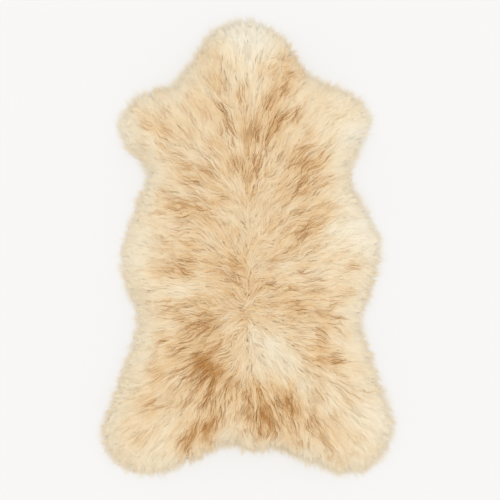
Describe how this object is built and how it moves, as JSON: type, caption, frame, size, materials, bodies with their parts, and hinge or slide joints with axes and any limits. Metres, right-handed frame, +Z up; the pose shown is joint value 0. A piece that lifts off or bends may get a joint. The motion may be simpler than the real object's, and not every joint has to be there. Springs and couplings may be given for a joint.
{
  "type": "sheepskin",
  "caption": "Whole long-haired sheepskin laid flat, wool up, with a rounded neck, two shoulder lobes, waisted flanks and two hind-leg lobes.",
  "frame": {"origin": "on the floor under the middle of the sheepskin's own bounding box", "axes": "+Y along the back towards the neck, +X towards the right shoulder as seen from above, +Z up out of the wool"},
  "size_m": [0.6696, 1.0422, 0.056],
  "materials": {
    "tanned_skin": "suede, matte",
    "wool": "long wavy wool, soft sheen"
  },
  "bodies": {
    "root": {"skin": "tanned_skin", "fleece": "wool"}
  },
  "joints": []
}
